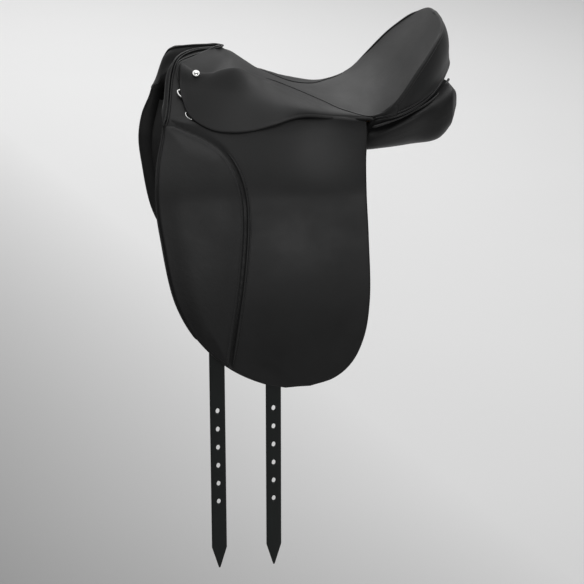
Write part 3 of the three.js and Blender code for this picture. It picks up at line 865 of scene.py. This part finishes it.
CANTLE_RIM = even_curve(curve([(216, 0, 192.5), (216, 42, 188), (210, 82, 178), (197, 106, 167),
                               (180, 126, 149), (160, 142, 127), (126, 158, 86), (108, 157, 68),
                               (86, 148, 57)]))
CANTLE_FOOT = even_curve(curve([(235, 0, 118), (230, 34, 113), (216, 70, 104), (198, 104, 92),
                                (172, 135, 79), (140, 156, 68), (118, 160, 61), (84, 152, 51)]))
POMMEL_OUTER = even_curve(curve([(-141, 0, 145.5), (-148, 8, 144.5), (-186, 15, 143), (-209, 28, 138),
                                 (-221, 44, 131), (-229, 60, 115), (-234, 80, 95), (-239, 104, 70),
                                 (-243, 118, 56), (-248, 127, 45)]))
POMMEL_INNER = even_curve(curve([(-143, 0, 147.5), (-153, 12, 146), (-170, 24, 142), (-196, 40, 138),
                                 (-215, 55, 133), (-219.5, 67, 122), (-218.5, 79, 108)]))
POMMEL_BEHIND = even_curve(curve([(-138, 0, 144.5), (-150, 12, 142), (-165, 25, 137), (-189, 41, 132),
                                  (-205, 55, 126), (-207, 70, 112), (-204, 83, 97), (-199, 100, 79),
                                  (-200, 117, 60), (-206, 128, 48), (-213, 134, 39)]))
POMMEL_LIP = curve([(-226, 0, 104), (-229, 20, 101), (-233, 38, 92), (-236, 48, 86), (-239, 56, 78),
                    (-242, 64, 70)])


def welt_along(name, line, radius, replaced=(), count=241, taper=0.01):
    welt = tube(name, line(np.linspace(0, 1, count)), radius, 12, 1, taper)
    return finish_piece(welt, WELT_HIDE, ROOT, replaced)


def moved(line, x, y, z):
    """A line that spans the saddle, moved by x and z, and outwards by y."""
    def at(t):
        p = line(t)
        return p + np.column_stack([np.full(len(p), x), y * np.sign(p[:, 1]), np.full(len(p), z)])
    return at


def make_cantle():
    v = np.linspace(0, 1, 151)
    rows = np.linspace(0, 1, 28)
    rim, foot = across_centre(CANTLE_RIM)(v), across_centre(CANTLE_FOOT)(v)
    u = rows[:, None, None]
    grid = rim[None] + (foot - rim)[None] * (0.99 * u) - (0, 0, 1.5)
    fade = np.sin(np.pi * v)[None, :] ** 0.6
    swell = 8.5 * np.sin(np.pi * rows**0.8) ** 0.8 + 2.5 * smooth(rows, 0.7, 1)
    grid[..., 0] += (swell[:, None] + 1.0) * (0.35 + 0.65 * fade)
    facing = sheet("cantle_cover", grid, SEAT_LEATHER, (1.0, 0, 0), None, 1, 1.0)
    finish_piece(facing, SEAT_HIDE, ROOT, ("cantle_facing",))
    lining = np.stack([foot + (-1.0, 0, -1.0), foot * (1, 0.93, 1) - (5, 0, 12),
                       foot * (1, 0.86, 1) - (14, 0, 34)])
    grid = np.stack([curve(lining[:, k])(np.linspace(0, 1, 10)) for k in range(len(v))], axis=1)
    grid[..., 0] = np.minimum(grid[..., 0], 233)
    under = sheet("cantle_lining", grid, 2, (0.6, 0, -1.0))
    finish_piece(under, SWEAT_HIDE, ROOT)
    spanned = across_centre(CANTLE_FOOT)
    welt_along("cantle_welt_cord", moved(spanned, 3.2, 0.8, -2.2), 2.3, ("cantle_welt",))
    welt_along("cantle_seam_cord", moved(spanned, 3.0, 0.8, 2.4), 1.5)
    roll = tube("cantle_roll", moved(across_centre(CANTLE_RIM), 0.2, -1.2, -3.6)(v), 3.8, 12, 1, 0.01)
    finish_piece(roll, SEAT_HIDE, ROOT)


def make_pommel():
    v = np.linspace(0, 1, 161)
    rows = np.linspace(0, 1, 26)
    outer, inner = across_centre(POMMEL_OUTER), across_centre(POMMEL_INNER)
    rim, lip = outer(v), across_centre(POMMEL_LIP)(v)
    grid = rim[None] + (lip - rim)[None] * rows[:, None, None]
    bulge = np.sin(np.pi * rows)[:, None]
    middle = np.cos(np.pi * (v - 0.5))[None] ** 2
    grid[..., 0] -= 3 * bulge + 4 * bulge * middle
    grid[..., 2] += 2 * bulge + 5 * bulge * middle
    facing = sheet("pommel_cover", grid, SEAT_LEATHER, (-1.0, 0, 0.3), None, 1, 1.0)
    finish_piece(facing, SEAT_HIDE, ROOT, ("pommel_facing",))
    behind = across_centre(POMMEL_BEHIND)(v)
    grid = rim[None] + (behind - rim)[None] * np.linspace(0, 1, 12)[:, None, None]
    sunk = 5 * smooth(np.abs(2 * v - 1), 0.86, 0.97) * np.linspace(0, 1, 12)[:, None]
    grid[..., 1] -= sunk * np.sign(grid[..., 1])
    strip = sheet("pommel_strip", grid - (0, 0, 0.5), 2.4, (0, 0, 1.0), None, 1, 1.0)
    finish_piece(strip, FLAP_HIDE, ROOT)
    welt_along("pommel_welt_cord", moved(outer, -0.6, 0.6, 0.8), 1.9, ("pommel_welt",))
    welt_along("pommel_second_cord", moved(outer, 3.6, 2.2, 0.2), 1.4)
    welt_along("pommel_inner_cord", inner, 1.3)


make_cantle()
make_pommel()

PANEL_WELT = curve([(84, 158, 41), (100, 160, 46), (131, 158, 56), (155, 151, 65), (180, 136, 73),
                    (203, 110, 82), (222, 76, 90), (229, 60, 92)])


def make_welts(side):
    sign = SIDES[side]
    seam = evenly(lambda t: SEAT_EDGE(0.5 + 0.3 * np.asarray(t)), 160) + (0, 0.8, 0.4)
    welt = tube(f"{side}_seat_welt_cord", seam, 1.4, 12, sign, 0.12)
    finish_piece(welt, WELT_HIDE, ROOT, (f"{side}_seat_welt",))
    gusset = tube(f"{side}_panel_welt_cord", evenly(PANEL_WELT, 110), 2.0, 12, sign, 0.02)
    finish_piece(gusset, WELT_HIDE, ROOT, (f"{side}_panel_welt",))


for side in SIDES:
    make_welts(side)

# ---- sweat flaps ----
SWEAT_FRONT = curve([(-236, 0, 34), (-246, 0, -50), (-240, 0, -130), (-215, 0, -235), (-165, 0, -305),
                     (-110, 0, -328)])
SWEAT_REAR = curve([(62, 0, -20), (54, 0, -50), (52, 0, -130), (48, 0, -235), (26, 0, -300),
                    (-30, 0, -328)])
SWEAT_WAIST = 50


def make_sweat_flap(side):
    u, v = ends_dense(44, 280, 2), ends_dense(60, 370, 2)
    front, rear = SWEAT_FRONT(v), SWEAT_REAR(v)
    grid = front[None] + (rear - front)[None] * u[:, None, None]
    z = grid[..., 2]
    depth = 19 + 11 * smooth(z, -100, 0)
    grid[..., 1] = flap_reach(grid[..., 0], z, SWEAT_WAIST) - depth
    rim = rim_distance(grid)
    flap = sheet(f"{side}_sweat_leather", grid, 3, outward(grid), groove(rim - 5, 0.9, 0.3), SIDES[side],
                 2.5)
    finish_piece(flap, SWEAT_HIDE, ROOT, (f"{side}_sweat_flap",))


for side in SIDES:
    make_sweat_flap(side)

# ---- billets ----
BILLET_X = {"front": -179, "rear": -88}
FOLD_BOTTOM = {"front": -262, "rear": -300}
FOLD_GAP = 5
BILLET_WIDTH, BILLET_LEATHER = 25, 3.5
BILLET_TOP, BILLET_STRAIGHT, BILLET_TIP = 38, -250, -683
HOLES = 7
HOLE_TOP, HOLE_PITCH = -399, 32.3
HOLE_HALF_WIDTH, HOLE_HALF_HEIGHT, PUNCH_LENGTH = 3.2, 5, 40


def billet_depth(z):
    return 8 + 5 * smooth(z, -100, 0) + 0.5 * np.maximum(0, z - 10)


def strap_grid(path, half, count=14):
    """A strap of the given half widths along a path that lies in a plane of constant x."""
    u = ends_dense(count, 25, 1.6)
    grid = np.repeat(path[None], len(u), axis=0)
    grid[..., 0] += (2 * u - 1)[:, None] * half[None]
    return grid


def punch(strap, x, y):
    """Cuts the row of oval buckle holes."""
    work = bmesh.new()
    for k in range(HOLES):
        made = bmesh.ops.create_cone(work, cap_ends=True, segments=28, radius1=1, radius2=1, depth=1)
        for v in made["verts"]:
            px, py, pz = v.co
            z = HOLE_TOP - HOLE_PITCH * k + py * HOLE_HALF_HEIGHT
            v.co = Vector((x + px * HOLE_HALF_WIDTH, y + pz * PUNCH_LENGTH, z)) * MM
    mesh = bpy.data.meshes.new("punch")
    bmesh.ops.recalc_face_normals(work, faces=work.faces)
    work.to_mesh(mesh)
    work.free()
    tool = bpy.data.objects.new("punch", mesh)
    bpy.context.scene.collection.objects.link(tool)
    cut = strap.modifiers.new("holes", "BOOLEAN")
    cut.operation, cut.solver, cut.object = "DIFFERENCE", "EXACT", tool
    bake_modifiers(strap)
    bpy.data.objects.remove(tool)


def bake_modifiers(obj):
    """Applies every modifier of an object."""
    view = bpy.context.evaluated_depsgraph_get()
    mesh = bpy.data.meshes.new_from_object(obj.evaluated_get(view))
    obj.modifiers.clear()
    obj.data = mesh


def hanging_billet(place):
    x = BILLET_X[place]
    z = np.concatenate([np.linspace(BILLET_TOP, BILLET_TIP + 46, 150),
                        np.linspace(BILLET_TIP + 44, BILLET_TIP, 24)])
    y = flap_reach(x, np.maximum(z, BILLET_STRAIGHT)) - billet_depth(z)
    half = np.minimum(BILLET_WIDTH / 2, 1.2 + (z - BILLET_TIP) * (BILLET_WIDTH / 2 - 1.2) / 38)
    grid = strap_grid(np.column_stack([np.full_like(z, x), y, z]), half)
    rim = rim_distance(grid)
    strap = sheet(f"near_{place}_billet_strap", grid, BILLET_LEATHER, (0, 1.0, 0),
                  groove(rim - 2.6, 0.6, 0.3), -1, 1.2)
    punch(strap, x, -(flap_reach(x, BILLET_STRAIGHT) - 8))
    finish_piece(strap, STRAP_HIDE, f"near_{place}_billet", (f"near_{place}_billet",))


def folded_billet(place):
    x, bottom = BILLET_X[place], FOLD_BOTTOM[place]
    down = np.linspace(BILLET_TOP, bottom, 90)
    outer = np.column_stack([flap_reach(x, down) - billet_depth(down) + 1 - BILLET_LEATHER / 2, down])
    turn = FOLD_GAP / 2
    turn_y = outer[-1, 0] - turn
    angles = np.radians(np.linspace(15, 165, 11))
    bend = np.column_stack([turn_y + turn * np.cos(angles), bottom - turn * np.sin(angles)])
    inner = outer[::-1] - (FOLD_GAP, 0)
    path = np.vstack([outer, bend, inner])
    path = np.column_stack([np.full(len(path), x), path])
    tangent = unit(np.gradient(path, axis=0))
    face = unit(np.cross(tangent, (1.0, 0, 0)))
    face *= np.sign(face[0, 1]) or 1
    grid = strap_grid(path + face * BILLET_LEATHER / 2, np.full(len(path), BILLET_WIDTH / 2.0))
    away = np.broadcast_to(face[None], grid.shape)
    rim = rim_distance(grid)
    strap = sheet(f"off_{place}_billet_strap", grid, BILLET_LEATHER, away, groove(rim - 2.6, 0.6, 0.3), 1,
                  1.2)
    finish_piece(strap, STRAP_HIDE, f"off_{place}_billet", (f"off_{place}_billet",))


for place in BILLET_X:
    hanging_billet(place)
    folded_billet(place)


def girth_web():
    half = curve([(-88, -112, 43), (-88, -98, 52), (-88, -78, 67.5), (-88, -60, 77), (-88, 0, 81),
                  (-88, 60, 77), (-88, 78, 67.5), (-88, 98, 52), (-88, 112, 43)])
    path = evenly(half, 110) + np.array([0, 0, 1.0])
    grid = strap_grid(path, np.full(len(path), BILLET_WIDTH / 2.0), 10)
    away = np.stack([np.zeros(grid.shape[:2]), grid[..., 1] / 60, np.ones(grid.shape[:2])], axis=-1)
    web = sheet("girth_web_strap", grid, 2, away)
    finish_piece(web, WEBBING, ROOT, ("girth_web",))


girth_web()

# ---- panels ----
# x, y and z of the centre, half width, half height and tilt in degrees, from pommel to cantle
PANEL_STATIONS = [
    (-228, 73, 18, 44, 9, -60), (-212, 72, 15, 54, 11, -60), (-150, 74, 16, 54, 12, -50),
    (-60, 76, 19, 44, 13, -25), (30, 80, 13, 48, 15, -10), (90, 92, 16, 58, 21, -2),
    (150, 92, 27, 60, 33, 5), (200, 84, 43, 54, 40, 3), (222, 78, 57, 46, 34, 0),
    (234, 74, 64, 24, 15, 0),
]


def panel_grid(rings=56, steps=90):
    """Rings of the panel's outer face, round its section and along it."""
    line = curve([s[:3] for s in PANEL_STATIONS])
    size = curve([s[3:] for s in PANEL_STATIONS])
    v = np.linspace(0, 1, steps)
    centre, dims = line(v), size(v)
    angle = np.linspace(0, 2 * np.pi, rings, endpoint=False)
    power = 0.6
    a = np.sign(np.cos(angle)) * np.abs(np.cos(angle)) ** power
    b = np.sign(np.sin(angle)) * np.abs(np.sin(angle)) ** power
    across = a[:, None] * dims[None, :, 0]
    rise = b[:, None] * dims[None, :, 1]
    tilt = np.radians(dims[None, :, 2])
    x = np.broadcast_to(centre[None, :, 0], across.shape)
    u = (a[:, None] + 1) / 2
    flare = 0.5 * u * rise * (smooth(x, 30, 110) - smooth(x, 150, 200))
    y = centre[None, :, 1] + across * np.cos(tilt) - rise * np.sin(tilt) + flare
    z = centre[None, :, 2] + across * np.sin(tilt) + rise * np.cos(tilt)
    return np.stack([x, y, z], axis=-1)


def make_panel(side):
    grid = panel_grid()
    around = lengths(np.vstack([grid[:, 45], grid[:1, 45]]))[:-1, None]
    panel = closed_tube(f"{side}_panel_cover", grid, around, grid[0, :, 0][None], SIDES[side])
    finish_piece(panel, PANEL_HIDE, ROOT, (f"{side}_panel",))


for side in SIDES:
    make_panel(side)


# ---- head nails and dee rings ----
def lathe(profile, segments=40):
    """Points of a turned shape: profile is (radius, height) pairs, round the Z axis."""
    angle = np.linspace(0, 2 * np.pi, segments, endpoint=False)
    p = np.array(profile, float)
    return np.stack([np.cos(angle)[:, None] * p[:, 0], np.sin(angle)[:, None] * p[:, 0],
                     np.broadcast_to(p[:, 1], (segments, len(p)))], axis=-1)


def head_nail(side):
    shape = lathe([(0.02, -1.6), (5.2, -1.6), (6.0, -0.9), (6.0, 0.1), (5.6, 0.7), (5.0, 0.75), (4.5, 0.5),
                   (3.6, 1.1), (2.4, 1.75), (1.2, 2.1), (0.02, 2.2)])
    turn = math.radians(-45)
    y = shape[..., 1] * math.cos(turn) - shape[..., 2] * math.sin(turn)
    z = shape[..., 1] * math.sin(turn) + shape[..., 2] * math.cos(turn)
    points = np.stack([shape[..., 0], y, z], axis=-1) + NAIL
    faces = quads(*points.shape[:2], wrap=True)
    nail = weld(new_object(f"{side}_nail_head", placed(points, SIDES[side]), faces), 3e-5)
    finish_piece(nail, SILVER, ROOT, (f"{side}_head_nail",))


RINGS = {"upper": ((-208.5, 87.5, 96), (0.006, 0.708, 0.706)),
         "lower": ((-200, 111, 64.5), (-0.003, 0.726, 0.687))}
RING_RADIUS, RING_WIRE = {"upper": 12.5, "lower": 10.5}, 1.6


def dee_ring(side, place):
    origin, normal = (np.array(v, float) for v in RINGS[place])
    normal = unit(normal)
    down = np.array([0, 0, -1.0])
    down = unit(down - normal * np.dot(down, normal))
    across = np.cross(down, normal)
    t = np.linspace(0, 2 * np.pi, 73)[:-1]
    x = RING_RADIUS[place] * np.cos(t)
    y = RING_RADIUS[place] * np.sin(t)
    y = np.where(y < 0, 0.3 * y, y) + 0.3 * RING_RADIUS[place]
    centre = origin + x[:, None] * across + y[:, None] * down
    tangent = unit(np.roll(centre, -1, axis=0) - np.roll(centre, 1, axis=0))
    second = unit(np.cross(tangent, normal))
    angle = np.linspace(0, 2 * np.pi, 12, endpoint=False)
    out = np.cos(angle)[None, :, None] * normal
    wire = (out + np.sin(angle)[None, :, None] * second[:, None]) * RING_WIRE
    points = centre[:, None] + wire
    n, m = points.shape[:2]
    faces = [(i * m + j, (i + 1) % n * m + j, (i + 1) % n * m + (j + 1) % m, i * m + (j + 1) % m)
             for i in range(n) for j in range(m)]
    ring = weld(new_object(f"{side}_{place}_dee", placed(points, SIDES[side]), faces), 1e-7)
    finish_piece(ring, SILVER, f"{side}_{place}_ring", (f"{side}_{place}_ring",))


for side in SIDES:
    head_nail(side)
    for place in RINGS:
        dee_ring(side, place)


# ---- floor, backdrop and light ----
FLOOR_Z = -1.1
FLOOR_TONE = (0.82, 0.82, 0.82)
FLOOR_SHADE = 0.34  # how dark the floor is where the studio light falls off, on the left and in front
ROOM_GLOW = 0.16


def make_stage():
    angle = np.linspace(0, 2 * np.pi, 96, endpoint=False)
    points = [(16 * math.cos(a), 4 + 16 * math.sin(a), FLOOR_Z) for a in angle]
    floor = new_object("floor", points, [list(range(len(points)))])
    s = Shader("pale_floor")
    place = s.place.outputs["Object"]
    apart = s.node("ShaderNodeSeparateXYZ")
    s.join(place, apart.inputs["Vector"])
    # Painted light and shade: the floor's colour runs from dark on the left and in front to pale on the
    # right and at the back.
    slope = s.maths("ADD", s.maths("MULTIPLY", apart.outputs["X"], 1.6),
                    s.maths("MULTIPLY", apart.outputs["Y"], 0.5))
    lit = s.mapped(slope, 0, 1, -1.3, 1.2)
    cloud = s.noise(place, 1.5, 2)
    pale = s.mixed(s.mapped(cloud, 0, 1), shade(FLOOR_TONE, 0.99), shade(FLOOR_TONE, 1.01))
    s.join(s.mixed(lit, shade(FLOOR_TONE, FLOOR_SHADE), pale), s.body.inputs["Base Color"])
    s.join(s.bump(s.noise(place, 60, 2), 0.05, 0.001), s.body.inputs["Normal"])
    s.set(Roughness=0.9, Specular_IOR_Level=0.1)
    floor.data.materials.append(s.material)


def area_light(name, place, aim, size, power):
    data = bpy.data.lights.new(name, "AREA")
    data.shape = "RECTANGLE"
    data.size, data.size_y = size
    data.energy = power
    aimed(name, data, place, aim)


def make_world():
    world = bpy.data.worlds.new("studio")
    world.use_nodes = True
    tree = world.node_tree
    tree.nodes.clear()
    output = tree.nodes.new("ShaderNodeOutputWorld")
    sky = tree.nodes.new("ShaderNodeBackground")
    sky.inputs["Color"].default_value = (1, 1, 1, 1)
    sky.inputs["Strength"].default_value = ROOM_GLOW
    tree.links.new(sky.outputs["Background"], output.inputs["Surface"])
    bpy.context.scene.world = world


make_stage()
make_world()
area_light("ceiling", (0.5, 0.8, 3.9), (0.5, 0.8, 0), (6, 6), power=143)
area_light("floor_wash", (-0.6, 6.2, 2.6), (-0.2, 6.4, -1.1), (7, 3), power=155)
area_light("front", (0.43, -4.0, 1.15), (-0.09, -0.2, -0.1), (3.2, 0.9), power=30)
area_light("rear", (1.9, 1.6, 1.5), (0.15, 0, 0.08), (1.0, 1.0), power=8)
bpy.context.scene.view_settings.view_transform = "Standard"
